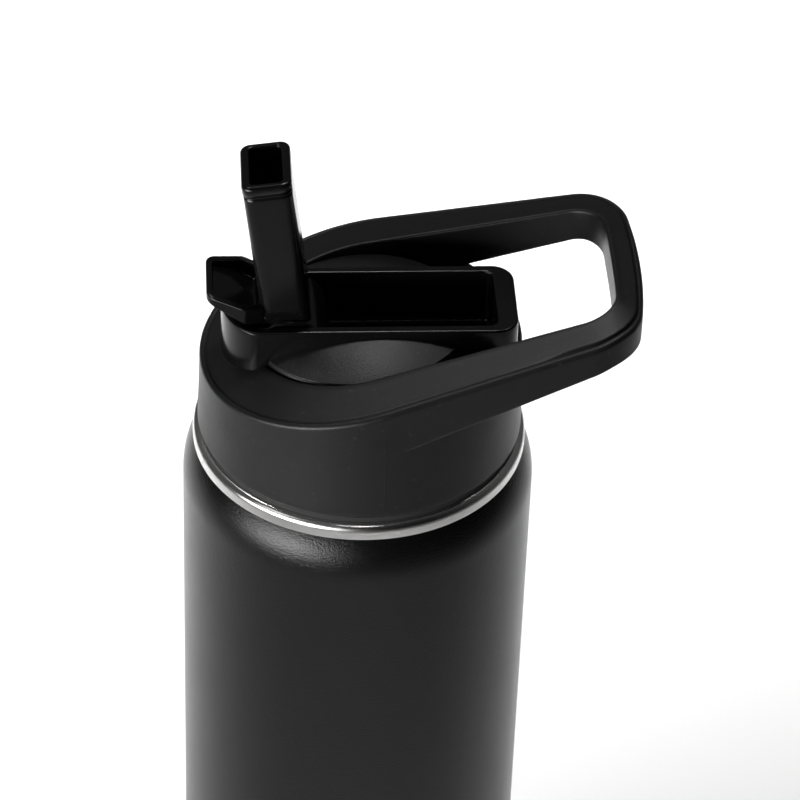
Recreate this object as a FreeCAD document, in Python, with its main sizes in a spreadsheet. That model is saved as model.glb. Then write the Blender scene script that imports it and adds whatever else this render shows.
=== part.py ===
import FreeCAD, Part
import math
import os
import Sketcher

# Insulated water bottle: a double-walled steel flask with a screw-in lid. The lid carries a fixed
# carry loop, a top insert with a trough, and a spout that folds down into the trough.
# Frame: origin at the middle of the base, +Z up, the carry loop towards +X. Millimetres.

doc = FreeCAD.newDocument("InsulatedBottle")
sheet = doc.addObject("Spreadsheet::Sheet", "dims")

drivingSizes = {
    # flask
    "bodyRadius": 36.5,
    "neckHeight": 246.0,        # base to the lower edge of the bare steel band
    "outerWall": 0.6,
    "shoulderDrop": 10.5,       # height over which the wall curves in to the band
    "bandRadius": 34.48,
    "bandWidth": 1.7,
    "lipHeight": 3.3,           # band's lower edge to the top of the lip
    "lipRound": 1.6,
    "lipInnerRound": 1.0,
    "footRound": 3.5,
    "footLift": 0.6,            # steel foot above the surface that the pad rests on
    "footFlat": 1.8,
    "linerRadius": 32.8,
    "linerWall": 0.5,
    "linerFloor": 12.0,
    "linerCorner": 9.0,
    "neckBore": 30.4,
    "neckWall": 0.9,
    "neckLength": 18.0,
    "neckBlend": 7.0,
    "baseDepth": 3.6,           # underside of the closing disc above the surface
    "sealHole": 1.5,
    "beadRadius": 4.0,
    "beadHeight": 0.8,
    "padGap": 0.1,
    "padChamfer": 0.8,
    "padPocket": 5.0,
    "getterRadius": 6.0,
    "getterHeight": 2.5,
    "getterOffset": 15.0,
    # screw thread between the neck and the plug
    "threadPitch": 4.0,
    "threadTurns": 1.75,
    "threadBase": 1.5,
    "threadCrest": 0.8,
    "threadHeight": 0.9,
    "plugThreadHeight": 1.15,
    "threadRoot": 0.2,          # how far a ridge is rooted in its wall
    "neckThreadDrop": 7.0,      # lip to the middle of the neck ridge's upper end
    "plugClear": 1.5,           # plug wall to the neck bore
    # plug and gasket
    "plugDepth": 15.0,          # lip to the plug's lower end
    "plugWall": 1.8,
    "gasketInner": 30.7,
    "gasketOuter": 32.9,
    "gasketThick": 1.2,
    "gasketGap": 0.05,
    "deckThick": 2.5,
    "capThick": 1.6,
    "capGap": 0.1,
    "foamGap": 0.2,
    "channelRadius": 6.6,
    "channelBore": 5.0,
    "ventOffset": 15.0,
    "ventTube": 3.2,
    "ventBore": 1.6,
    "ventDisc": 4.2,
    "ventDiscThick": 0.9,
    "ventClear": 0.1,
    # straw
    "strawRadius": 4.0,
    "strawBore": 3.3,
    "strawLift": 6.0,           # liner floor to the straw's lower end
    "strawGrip": 9.0,
    "socketFlange": 6.4,
    "socketFlangeThick": 1.4,
    # lid shell: skirt, sloping ring and carry loop
    "skirtGap": 4.8,            # band's lower edge to the skirt's lower edge
    "skirtRadius": 33.44,
    "ringRadius": 32.75,
    "skirtWall": 1.4,
    "deckRise": 26.5,           # band's lower edge to the deck between the arms
    "deckHole": 22.0,
    "deckPlate": 2.5,
    "ringLow": 23.0,            # top of the ring at its low end, above the band's lower edge
    "ringLowX": 27.5,           # where the ring starts to rise, to the left of the axis
    "ringSlope": 0.262,
    "ringPlate": 3.6,
    "loopEnd": 56.7,
    "loopEndBow": 1.6,
    "loopTipHalf": 25.6,
    "loopTipX": 47.0,
    "loopCornerX": 53.6,
    "loopCornerHalf": 18.0,
    "loopCornerRadius": 8.5,
    "loopTopFlat": 47.0,        # the sloping top levels off from here
    "loopTopEnd": 43.0,
    "archStartX": 4.0,
    "archStart": 20.6,
    "archX": 14.0,
    "archLow": 24.5,
    "archTipX": 47.0,
    "archHigh": 36.0,
    "archEnd": 37.3,
    "eyeCentre": 1.6,           # middle of the loop's rounded inner end, to the left of the axis
    "eyeRadius": 22.6,
    "eyeTipX": 42.0,
    "eyeTipHalf": 18.4,
    "eyeEnd": 49.9,
    "eyeEndHalf": 12.5,
    "eyeCorner": 8.0,
    "insertGap": 0.1,           # lid shell to the insert's block
    # top insert
    "insertRadius": 21.7,
    "insertCentre": 1.2,
    "insertWall": 1.8,
    "domeRadius": 48.3,
    "domeRise": 33.9,
    "rimRise": 34.4,
    "blockHalf": 10.85,
    "blockRight": 31.2,
    "blockLeft": 28.6,
    "blockLeftX": 22.4,
    "blockLeftArc": 13.0,
    "blockCorner": 4.0,
    "blockBase": 17.2,
    "troughHalf": 8.72,
    "troughRight": 27.0,
    "troughLeft": 26.3,
    "troughLeftX": 21.6,
    "troughFloor": 21.9,
    "pocketGap": 0.45,          # hub to the pocket that it turns in
    # spout
    "pivotX": 14.6,             # to the left of the axis
    "pivotRise": 27.4,
    "hubRadius": 7.8,
    "hubSide": 0.32,            # hub's end to the trough wall
    "trunnionRadius": 2.5,
    "trunnionClear": 0.05,
    "trunnionReach": 1.2,
    "socketSpare": 0.2,
    "spoutLength": 40.9,
    "spoutLean": 7.2,
    "spoutThick": 9.4,
    "spoutWidth": 15.0,
    "spoutRound": 1.8,
    "mouthRound": 1.1,
    "boreThick": 6.4,
    "boreWidth": 11.8,
    "boreRound": 0.8,
    "portRadius": 3.2,
    "tabRise": 39.5,
    "tabTip": 31.6,
    "tabThick": 3.5,
    "tabTipHalf": 7.2,
    "tabRootHalf": 8.2,
    "tabCorner": 2.4,
    "tabRim": 1.3,
    "webReach": 6.6,            # pivot to the web's left face
    "tabTray": 2.3,
    "sealOuter": 5.2,
    "sealSlack": 0.3,
    "sealSeat": 1.2,
    "insertSealThick": 1.4,
    "insertSealWidth": 1.6,
}

for row, (word, size) in enumerate(drivingSizes.items(), start=1):
    sheet.set(f"A{row}", word)
    sheet.set(f"B{row}", str(size))
    sheet.setAlias(f"B{row}", word)
doc.recompute()


def full(expression):
    """An expression with each size's word led to its cell, such as dims.bodyRadius."""
    words = expression
    for mark in "+-*/()^":
        words = words.replace(mark, f" {mark} ")
    return " ".join(f"dims.{w}" if w in drivingSizes else w for w in words.split())


def number(expression):
    """What an expression of sizes comes to now."""
    return float(sheet.evalExpression(full(expression)))


def above(expression):
    """A height above the band's lower edge, as a height above the base."""
    return f"neckHeight + {expression}"


def bind(thing, **properties):
    """Tie properties of a document object to expressions of sizes."""
    for name, expression in properties.items():
        thing.setExpression(name, full(expression))


def arcBetween(start, end, radius, side):
    """Arc of less than half a turn from start to end, its centre to the left (1) or right (-1)."""
    chord = end - start
    half = chord.Length / 2
    across = FreeCAD.Vector(-chord.y, chord.x, 0).normalize()
    centre = (start + end) / 2 + across * side * math.sqrt(max(radius**2 - half**2, 0))
    first, last = (start, end) if side > 0 else (end, start)
    angles = [math.atan2((p - centre).y, (p - centre).x) for p in (first, last)]
    if angles[1] < angles[0]:
        angles[1] += 2 * math.pi
    circle = Part.Circle(centre, FreeCAD.Vector(0, 0, 1), radius)
    return Part.ArcOfCircle(circle, angles[0], angles[1])


def drawOutline(sketch, corners):
    """Closed outline. A corner is (x, y), or (x, y, radius, side) when an arc leads to it."""
    points = [FreeCAD.Vector(number(c[0]), number(c[1]), 0) for c in corners]
    edges = []
    for i, corner in enumerate(corners):
        start, end = points[i - 1], points[i]
        if len(corner) == 2:
            edge = sketch.addGeometry(Part.LineSegment(start, end))
            edges.append((edge, 1, 2))
            continue
        side = corner[3]
        edge = sketch.addGeometry(arcBetween(start, end, number(corner[2]), side))
        edges.append((edge, 1, 2) if side > 0 else (edge, 2, 1))
        bound = sketch.addConstraint(Sketcher.Constraint("Radius", edge, number(corner[2])))
        sketch.setExpression(f"Constraints[{bound}]", full(corner[2]))
    for i, corner in enumerate(corners):
        edge, _, last = edges[i]
        following, first, _ = edges[(i + 1) % len(edges)]
        sketch.addConstraint(Sketcher.Constraint("Coincident", edge, last, following, first))
        for axis, kind, expression, place in (
            (-2, "DistanceX", corner[0], points[i].x),
            (-1, "DistanceY", corner[1], points[i].y),
        ):
            if expression == "0":
                sketch.addConstraint(Sketcher.Constraint("PointOnObject", edge, last, axis))
                continue
            bound = sketch.addConstraint(Sketcher.Constraint(kind, -1, 1, edge, last, place))
            sketch.setExpression(f"Constraints[{bound}]", full(expression))


def originPlane(body, role):
    """One of a body's own origin planes."""
    return next(f for f in body.Origin.OriginFeatures if f.Role == role)


def bodySketch(body, name, corners):
    """Sketch on the body's own XZ plane, x outwards and y upwards."""
    sketch = body.newObject("Sketcher::SketchObject", name)
    sketch.AttachmentSupport = [(originPlane(body, "XZ_Plane"), "")]
    sketch.MapMode = "FlatFace"
    drawOutline(sketch, corners)
    return sketch


def turnedBody(name, corners):
    """Body turned once round the axis from its section."""
    body = doc.addObject("PartDesign::Body", name)
    sketch = bodySketch(body, name + "Section", corners)
    turn = body.newObject("PartDesign::Revolution", name + "Turn")
    turn.Profile = sketch
    turn.ReferenceAxis = (sketch, ["V_Axis"])
    turn.Angle = 360
    doc.recompute()
    return body


def addThread(body, name, wall, crest, middle):
    """Helical ridge on a wall, its section a trapezium whose middle starts at the given height."""
    root = f"({wall}) - threadRoot" if number(crest) > number(wall) else f"({wall}) + threadRoot"
    sketch = bodySketch(body, name, [
        (root, f"{middle} - threadBase / 2"),
        (crest, f"{middle} - threadCrest / 2"),
        (crest, f"{middle} + threadCrest / 2"),
        (root, f"{middle} + threadBase / 2"),
    ])
    ridge = body.newObject("PartDesign::AdditiveHelix", name + "Ridge")
    ridge.Profile = sketch
    ridge.ReferenceAxis = (sketch, ["V_Axis"])
    ridge.Mode = "pitch-turns-angle"
    bind(ridge, Pitch="threadPitch", Turns="threadTurns")
    ridge.Reversed = False
    doc.recompute()
    return ridge


def prism(name, corners, low, high):
    """Plan outline raised from one height to another."""
    sketch = doc.addObject("Sketcher::SketchObject", name + "Plan")
    drawOutline(sketch, corners)
    solid = doc.addObject("Part::Extrusion", name)
    solid.Base = sketch
    solid.DirMode = "Custom"
    solid.Dir = FreeCAD.Vector(0, 0, 1)
    solid.Solid = True
    bind(solid, LengthFwd=f"({high}) - ({low})")
    solid.setExpression(".Placement.Base.z", full(low))
    return solid


def slab(name, corners, half):
    """Side outline, x and z, spread to both sides of the middle plane."""
    sketch = doc.addObject("Sketcher::SketchObject", name + "Side")
    sketch.Placement.Rotation = FreeCAD.Rotation(FreeCAD.Vector(1, 0, 0), 90)
    drawOutline(sketch, corners)
    solid = doc.addObject("Part::Extrusion", name)
    solid.Base = sketch
    solid.DirMode = "Custom"
    solid.Dir = FreeCAD.Vector(0, 1, 0)
    solid.Solid = True
    bind(solid, LengthFwd=half, LengthRev=half)
    return solid


def drum(name, radius, low, high, x="0"):
    """Upright cylinder between two heights, its axis at x on the middle plane."""
    solid = doc.addObject("Part::Cylinder", name)
    bind(solid, Radius=radius, Height=f"({high}) - ({low})")
    solid.setExpression(".Placement.Base.x", full(x))
    solid.setExpression(".Placement.Base.z", full(low))
    return solid


def crossDrum(name, radius, half, x, z):
    """Cylinder lying along Y, centred on the middle plane."""
    solid = doc.addObject("Part::Cylinder", name)
    solid.Placement.Rotation = FreeCAD.Rotation(FreeCAD.Vector(1, 0, 0), 90)
    bind(solid, Radius=radius, Height=f"2 * ({half})")
    solid.setExpression(".Placement.Base.x", full(x))
    solid.setExpression(".Placement.Base.y", full(half))
    solid.setExpression(".Placement.Base.z", full(z))
    return solid


def join(name, *solids):
    whole = doc.addObject("Part::MultiFuse", name)
    whole.Shapes = list(solids)
    return whole


def shared(name, first, second):
    whole = doc.addObject("Part::Common", name)
    whole.Base = first
    whole.Tool = second
    return whole


def less(name, base, tool):
    whole = doc.addObject("Part::Cut", name)
    whole.Base = base
    whole.Tool = tool
    return whole


def turned(name, corners, x="0"):
    """Solid turned round an upright axis from a section, for a boolean."""
    sketch = doc.addObject("Sketcher::SketchObject", name + "Section")
    sketch.Placement.Rotation = FreeCAD.Rotation(FreeCAD.Vector(1, 0, 0), 90)
    drawOutline(sketch, corners)
    solid = doc.addObject("Part::Revolution", name)
    solid.Source = sketch
    solid.Axis = FreeCAD.Vector(0, 0, 1)
    solid.Angle = 360
    solid.Solid = True
    solid.setExpression(".Placement.Base.x", full(x))
    return solid


def filleted(name, base, radius, chosen):
    """Round the edges that a test chooses."""
    doc.recompute()
    picks = [i + 1 for i, edge in enumerate(base.Shape.Edges) if chosen(edge)]
    rounded = doc.addObject("Part::Fillet", name)
    rounded.Base = base
    size = number(radius)
    rounded.Edges = [(i, size, size) for i in picks]
    doc.recompute()
    return rounded


parts = {}

# ---- flask -------------------------------------------------------------------------------
shoulderArc = "((bodyRadius - bandRadius)^2 + shoulderDrop^2) / (2 * (bodyRadius - bandRadius))"
shellFoot = "bodyRadius - footRound - footFlat"
parts["outer_shell"] = turnedBody("OuterShell", [
    (shellFoot, "footLift"),
    ("bodyRadius - footRound", "footLift"),
    ("bodyRadius", "footLift + footRound", "footRound", 1),
    ("bodyRadius", "neckHeight - shoulderDrop"),
    ("bandRadius", "neckHeight", shoulderArc, 1),
    ("bandRadius - outerWall", "neckHeight"),
    ("bodyRadius - outerWall", "neckHeight - shoulderDrop", shoulderArc, -1),
    ("bodyRadius - outerWall", "footLift + footRound"),
    ("bodyRadius - footRound", "footLift + outerWall", "footRound - outerWall", -1),
    (shellFoot, "footLift + outerWall"),
])
parts["outer_base"] = turnedBody("OuterBase", [
    ("sealHole", "baseDepth"),
    (f"{shellFoot} - outerWall", "baseDepth"),
    (f"{shellFoot} - outerWall", "footLift"),
    (shellFoot, "footLift"),
    (shellFoot, "baseDepth + outerWall"),
    ("sealHole", "baseDepth + outerWall"),
])
parts["vacuum_seal"] = turnedBody("VacuumSeal", [
    ("0", "baseDepth - beadHeight"),
    ("beadRadius - beadHeight", "baseDepth - beadHeight"),
    ("beadRadius", "baseDepth", "beadHeight", 1),
    ("sealHole", "baseDepth"),
    ("sealHole", "baseDepth + outerWall"),
    ("0", "baseDepth + outerWall"),
])
parts["getter"] = drum("Getter", "getterRadius", "baseDepth + outerWall",
                       "baseDepth + outerWall + getterHeight", "getterOffset")
padRadius = f"{shellFoot} - outerWall - padGap"
parts["base_pad"] = turnedBody("BasePad", [
    ("0", "0"),
    (f"{padRadius} - padChamfer", "0"),
    (padRadius, "padChamfer"),
    (padRadius, "baseDepth"),
    ("padPocket", "baseDepth"),
    ("padPocket", "baseDepth - beadHeight - padGap"),
    ("0", "baseDepth - beadHeight - padGap"),
])
lipTop = above("lipHeight")
neckFoot = f"{lipTop} - neckLength"
linerInside = "linerRadius - linerWall"
liner = turnedBody("InnerLiner", [
    ("0", "linerFloor"),
    ("linerRadius - linerCorner", "linerFloor"),
    ("linerRadius", "linerFloor + linerCorner", "linerCorner", 1),
    ("linerRadius", f"{neckFoot} - neckBlend"),
    ("neckBore + neckWall", neckFoot),
    ("neckBore + neckWall", "neckHeight"),
    ("bandRadius", "neckHeight"),
    ("bandRadius", above("bandWidth")),
    ("bandRadius - lipRound", lipTop, "lipRound", 1),
    ("neckBore + lipInnerRound", lipTop),
    ("neckBore", f"{lipTop} - lipInnerRound", "lipInnerRound", 1),
    ("neckBore", neckFoot),
    (linerInside, f"{neckFoot} - neckBlend"),
    (linerInside, "linerFloor + linerCorner"),
    ("linerRadius - linerCorner", "linerFloor + linerWall", "linerCorner - linerWall", -1),
    ("0", "linerFloor + linerWall"),
])
neckRidgeLow = f"{lipTop} - neckThreadDrop - threadTurns * threadPitch"
addThread(liner, "NeckThread", "neckBore", "neckBore - threadHeight", neckRidgeLow)
parts["inner_liner"] = liner

# ---- plug, gasket and straw --------------------------------------------------------------
flangeLow = f"{lipTop} + gasketThick + 2 * gasketGap"
deckTop = f"{flangeLow} + deckThick"
plugLow = f"{lipTop} - plugDepth"
plugRadius = "neckBore - plugClear"
flangeRadius = "skirtRadius - skirtWall"
parts["lid_gasket"] = turnedBody("LidGasket", [
    ("gasketInner", f"{lipTop} + gasketGap"),
    ("gasketOuter", f"{lipTop} + gasketGap"),
    ("gasketOuter", f"{lipTop} + gasketGap + gasketThick"),
    ("gasketInner", f"{lipTop} + gasketGap + gasketThick"),
])
plug = turnedBody("LidCore", [
    (f"{plugRadius} - plugWall", plugLow),
    (plugRadius, plugLow),
    (plugRadius, flangeLow),
    (flangeRadius, flangeLow),
    (flangeRadius, deckTop),
    ("0", deckTop),
    ("0", flangeLow),
    (f"{plugRadius} - plugWall", flangeLow),
])
addThread(plug, "PlugThread", plugRadius, "neckBore - threadHeight + plugThreadHeight / 2",
          f"{neckRidgeLow} + threadPitch / 2")
strawX = "0 - pivotX"
channels = join("CoreTubes", plug,
                drum("StrawTube", "channelRadius", plugLow, deckTop, strawX),
                drum("VentTube", "ventTube", plugLow, deckTop, "ventOffset"))
bores = join("CoreBores",
             drum("StrawTubeBore", "channelBore", f"{plugLow} - capThick", f"{deckTop} + capThick", strawX),
             drum("VentTubeBore", "ventBore", f"{plugLow} - capThick", f"{deckTop} + capThick",
                  "ventOffset"))
parts["lid_core"] = less("LidCoreBored", channels, bores)


def aroundTubes(name, radius, low, high, gap):
    """Disc inside the plug with clear holes for the two tubes."""
    holes = join(name + "Holes",
                 drum(name + "StrawHole", f"channelRadius + {gap}", f"{low} - capThick",
                      f"{high} + capThick", strawX),
                 drum(name + "VentHole", f"ventTube + {gap}", f"{low} - capThick",
                      f"{high} + capThick", "ventOffset"))
    return less(name, drum(name + "Disc", radius, low, high), holes)


capRadius = f"{plugRadius} - plugWall - capGap"
parts["plug_cap"] = aroundTubes("PlugCap", capRadius, plugLow, f"{plugLow} + capThick", "capGap")
parts["plug_foam"] = aroundTubes("PlugFoam", f"{capRadius} - foamGap",
                                 f"{plugLow} + capThick + foamGap", f"{flangeLow} - foamGap", "foamGap")
parts["straw_socket"] = turned("StrawSocket", [
    ("strawRadius", f"{plugLow} - socketFlangeThick"),
    ("socketFlange", f"{plugLow} - socketFlangeThick"),
    ("socketFlange", plugLow),
    ("channelBore", plugLow),
    ("channelBore", f"{plugLow} + strawGrip"),
    ("strawBore", f"{plugLow} + strawGrip"),
    ("strawBore", f"{plugLow} + strawGrip - socketFlangeThick"),
    ("strawRadius", f"{plugLow} + strawGrip - socketFlangeThick"),
], strawX)
strawLow = "linerFloor + linerWall + strawLift"
strawHigh = f"{plugLow} + strawGrip - socketFlangeThick"
parts["straw"] = turned("Straw", [
    ("strawBore", strawLow),
    ("strawRadius", strawLow),
    ("strawRadius", strawHigh),
    ("strawBore", strawHigh),
], strawX)
parts["vent_valve"] = turned("VentValve", [
    ("0", f"{plugLow} - ventDiscThick"),
    ("ventDisc", f"{plugLow} - ventDiscThick"),
    ("ventDisc", plugLow),
    ("ventBore - ventClear", plugLow),
    ("ventBore - ventClear", f"{flangeLow} + deckThick / 2"),
    ("0", f"{flangeLow} + deckThick / 2"),
], "ventOffset")

# ---- lid shell ---------------------------------------------------------------------------
skirtLow = above("skirtGap")
deckHigh = above("deckRise")


def ringTop(x):
    """Height of the sloping ring's top at a place to the right of its low end."""
    return above(f"ringLow + ringSlope * ({x} + ringLowX)")


farX = "(bodyRadius + skirtRadius)"
skirtWallSolid = turned("SkirtWall", [
    (flangeRadius, skirtLow),
    ("skirtRadius", skirtLow),
    ("ringRadius", deckHigh),
    (f"{flangeRadius} - (skirtRadius - ringRadius)", deckHigh),
    (f"{flangeRadius} - (skirtRadius - ringRadius)", deckTop),
    (flangeRadius, deckTop),
])
deckEdgeX = "(deckRise - ringLow) / ringSlope - ringLowX"
belowRing = slab("BelowRing", [
    (f"0 - {farX}", "0"),
    (farX, "0"),
    (farX, deckHigh),
    (deckEdgeX, deckHigh),
    ("0 - ringLowX", above("ringLow")),
    (f"0 - {farX}", above("ringLow")),
], "skirtRadius")
skirt = shared("Skirt", skirtWallSolid, belowRing)
rightHalf = slab("RightHalf", [
    ("0", "0"),
    (farX, "0"),
    (farX, deckHigh),
    ("0", deckHigh),
], "skirtRadius")
deck = shared("ArmDeck", turned("ArmDeckRing", [
    ("deckHole", f"{deckHigh} - deckPlate"),
    ("ringRadius", f"{deckHigh} - deckPlate"),
    ("ringRadius", deckHigh),
    ("deckHole", deckHigh),
]), rightHalf)

loopBow = "(loopCornerHalf^2 + (loopEnd - loopCornerX)^2) / (2 * (loopEnd - loopCornerX))"
loopOutside = prism("LoopOutside", [
    ("0", "ringRadius"),
    ("0 - ringRadius", "0", "ringRadius", 1),
    ("0", "0 - ringRadius", "ringRadius", 1),
    ("loopTipX", "0 - loopTipHalf"),
    ("loopCornerX", "0 - loopCornerHalf", "loopCornerRadius", 1),
    ("loopCornerX", "loopCornerHalf", loopBow, 1),
    ("loopTipX", "loopTipHalf", "loopCornerRadius", 1),
], "0", above("loopEnd"))
loopSide = slab("LoopSide", [
    (f"0 - {farX}", above("ringLow - ringPlate")),
    ("0 - ringLowX", above("ringLow - ringPlate")),
    ("archStartX", above("archStart")),
    ("archX", above("archLow")),
    ("archTipX", above("archHigh")),
    (farX, above("archEnd")),
    (farX, above("loopTopEnd")),
    ("loopTopFlat", ringTop("loopTopFlat")),
    ("0 - ringLowX", above("ringLow")),
    (f"0 - {farX}", above("ringLow")),
], "bodyRadius")
loopEye = prism("LoopEye", [
    ("0 - eyeCentre", "eyeRadius"),
    ("0 - eyeCentre - eyeRadius", "0", "eyeRadius", 1),
    ("0 - eyeCentre", "0 - eyeRadius", "eyeRadius", 1),
    ("eyeTipX", "0 - eyeTipHalf"),
    ("eyeEnd", "0 - eyeEndHalf", "eyeCorner", 1),
    ("eyeEnd", "eyeEndHalf"),
    ("eyeTipX", "eyeTipHalf", "eyeCorner", 1),
], "0", above("loopEnd + loopEnd"))
loop = less("Loop", shared("LoopBlank", loopOutside, loopSide), loopEye)
lidBlank = join("LidBlank", skirt, deck, loop)

# ---- top insert --------------------------------------------------------------------------
insertX = "0 - insertCentre"
domeMiddle = above("domeRise - domeRadius")


def domed(name, radius, ball, low):
    """Upright cylinder whose top is part of a ball on the lid's axis."""
    sphere = doc.addObject("Part::Sphere", name + "Ball")
    bind(sphere, Radius=ball)
    sphere.setExpression(".Placement.Base.z", full(domeMiddle))
    return shared(name, drum(name + "Post", radius, low, above("rimRise"), insertX), sphere)


def blockPlan(left, leftX, arc, half, right, corner):
    """Plan with a blunt rounded left end and a square right end with rounded corners."""
    return [
        (f"0 - {leftX}", half),
        (f"0 - {left}", "0", arc, 1),
        (f"0 - {leftX}", f"0 - {half}", arc, 1),
        (f"{right} - {corner}", f"0 - {half}"),
        (right, f"0 - {half} + {corner}", corner, 1),
        (right, f"{half} - {corner}"),
        (f"{right} - {corner}", half, corner, 1),
    ]


blockRoom = prism("BlockRoom", blockPlan(
    "(blockLeft + insertGap)", "blockLeftX", "(blockLeftArc + insertGap)", "(blockHalf + insertGap)",
    "(blockRight + insertGap)", "(blockCorner + insertGap)",
), above("blockBase - insertGap"), above("rimRise"))
parts["lid_shell"] = less("LidShell", lidBlank, blockRoom)

insertCup = less("InsertCup",
                 domed("InsertOuter", "insertRadius", "domeRadius", deckTop),
                 domed("InsertInner", "insertRadius - insertWall", "domeRadius - insertWall",
                       f"{deckTop} - insertWall"))
block = prism("Block", blockPlan("blockLeft", "blockLeftX", "blockLeftArc", "blockHalf",
                                 "blockRight", "blockCorner"), above("blockBase"), above("rimRise"))
troughCorner = "(blockCorner - (blockHalf - troughHalf))"
troughArc = "blockLeftArc - (blockHalf - troughHalf)"
trough = prism("Trough", blockPlan("troughLeft", "troughLeftX", troughArc, "troughHalf",
                                   "troughRight", troughCorner), above("troughFloor"),
               above("rimRise + rimRise"))
pivotZ = above("pivotRise")
pocket = crossDrum("HubPocket", "hubRadius + pocketGap", "troughHalf", strawX, pivotZ)
sockets = crossDrum("TrunnionSockets", "trunnionRadius + trunnionClear",
                    "troughHalf + trunnionReach + socketSpare", strawX, pivotZ)
insertSolid = join("InsertSolid", insertCup, block,
                   drum("InsertTube", "channelRadius", deckTop, above("blockBase + insertWall"), strawX))
insertBore = drum("InsertBore", "portRadius", f"{deckTop} - insertWall", above("troughFloor"), strawX)
sealPocket = drum("SealPocket", "sealOuter", above("pivotRise - hubRadius - sealSlack - sealSeat"),
                  above("troughFloor"), strawX)
sealSection = [
    ("portRadius", deckTop),
    ("portRadius + insertSealWidth", deckTop),
    ("portRadius + insertSealWidth", f"{deckTop} + insertSealThick"),
    ("portRadius", f"{deckTop} + insertSealThick"),
]
insertSealPocket = turned("InsertSealPocket", sealSection, strawX)
insertCuts = join("InsertCuts", trough, pocket, sockets, insertBore, sealPocket, insertSealPocket)
parts["top_insert"] = less("TopInsert", insertSolid, insertCuts)
parts["insert_seal"] = turned("InsertSeal", sealSection, strawX)
sealTop = above("pivotRise - hubRadius - sealSlack")
parts["spout_seal"] = turned("SpoutSeal", [
    ("portRadius", f"{sealTop} - sealSeat"),
    ("sealOuter", f"{sealTop} - sealSeat"),
    ("sealOuter", sealTop),
    ("portRadius", sealTop),
], strawX)

# ---- spout -------------------------------------------------------------------------------
hubHalf = "troughHalf - hubSide"
hub = crossDrum("Hub", "hubRadius", hubHalf, strawX, pivotZ)
trunnions = crossDrum("Trunnions", "trunnionRadius", "troughHalf + trunnionReach", strawX, pivotZ)


def leaningBox(name, thick, width, low, high, edgeRound):
    """Box along the spout's line, which leans to the left, with its long edges rounded."""
    box = doc.addObject("Part::Box", name)
    bind(box, Length=thick, Width=width, Height=f"({high}) - ({low})")
    turn = FreeCAD.Rotation(FreeCAD.Vector(0, 1, 0), -number("spoutLean"))
    box.Placement.Rotation = turn
    rise = full(low)
    thickHalf = full(f"{thick} / 2")
    lean = "dims.spoutLean * 1deg"
    box.setExpression(".Placement.Base.x",
                      f"0 - dims.pivotX - ({thickHalf}) * cos({lean}) - ({rise}) * sin({lean})")
    box.setExpression(".Placement.Base.y", full(f"0 - {width} / 2"))
    box.setExpression(".Placement.Base.z",
                      f"{full(pivotZ)} - ({thickHalf}) * sin({lean}) + ({rise}) * cos({lean})")
    box.setExpression(".Placement.Rotation.Angle", "dims.spoutLean * 1deg")
    box.Placement.Rotation.Axis = FreeCAD.Vector(0, -1, 0)
    long = number(f"({high}) - ({low})")
    return filleted(name + "Round", box, edgeRound, lambda e: abs(e.Length - long) < 0.01)


tube = leaningBox("Tube", "spoutThick", "spoutWidth", "0", "spoutLength", "spoutRound")
flowBore = leaningBox("FlowBore", "boreThick", "boreWidth", "0", "spoutLength + boreRound", "boreRound")
tabTop = above("tabRise")
tabPlan = [
    ("0 - tabTip + tabCorner", "0 - tabTipHalf"),
    ("0 - pivotX - hubRadius", "0 - tabRootHalf"),
    ("0 - pivotX", "0 - tabRootHalf"),
    ("0 - pivotX", "tabRootHalf"),
    ("0 - pivotX - hubRadius", "tabRootHalf"),
    ("0 - tabTip + tabCorner", "tabTipHalf"),
    ("0 - tabTip", "tabTipHalf - tabCorner", "tabCorner", 1),
    ("0 - tabTip", "0 - tabTipHalf + tabCorner"),
]
tabPlan[0] = tabPlan[0] + ("tabCorner", 1)
tabBlank = prism("TabBlank", tabPlan, f"{tabTop} - tabThick", tabTop)
tabTrayPlan = [
    ("0 - tabTip + tabCorner", "0 - tabTipHalf + tabRim", "tabCorner - tabRim", 1),
    ("0 - pivotX - hubRadius", "0 - tabRootHalf + tabRim"),
    ("0 - pivotX - hubRadius", "tabRootHalf - tabRim"),
    ("0 - tabTip + tabCorner", "tabTipHalf - tabRim"),
    ("0 - tabTip + tabRim", "tabTipHalf - tabCorner", "tabCorner - tabRim", 1),
    ("0 - tabTip + tabRim", "0 - tabTipHalf + tabCorner"),
]
tabTray = prism("TabTray", tabTrayPlan, f"{tabTop} - tabTray", f"{tabTop} + tabThick")
tab = less("Tab", tabBlank, tabTray)
web = slab("TabWeb", [
    ("0 - pivotX - webReach", pivotZ),
    ("0 - pivotX", pivotZ),
    ("0 - pivotX", tabTop),
    ("0 - pivotX - webReach", tabTop),
], "tabRootHalf")
port = drum("Port", "portRadius", f"{pivotZ} - hubRadius - hubSide", pivotZ, strawX)
spoutSolid = join("SpoutSolid", hub, trunnions, tube, tab, web)
parts["spout"] = less("Spout", spoutSolid, join("SpoutBores", flowBore, port))

# ---- checks and files --------------------------------------------------------------------
doc.recompute()
for thing in doc.Objects:
    if "Invalid" in thing.State or "Error" in thing.State:
        raise RuntimeError(f"{thing.Name} failed: {thing.State}")
for node, thing in parts.items():
    thing.Label = node
    shape = thing.Shape
    if shape.isNull() or not shape.isValid():
        raise RuntimeError(f"{node} has no valid shape")
    if not shape.Solids:
        raise RuntimeError(f"{node} has no solid")

os.makedirs("parts", exist_ok=True)
for node, thing in parts.items():
    thing.Shape.exportStep(f"parts/{node}.step")
    print(f"{node}: {len(thing.Shape.Solids)} solid, {thing.Shape.Volume / 1000:.2f} cm3")
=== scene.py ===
import math

import bmesh
import bpy
import numpy as np
from mathutils import Matrix, Vector


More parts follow.
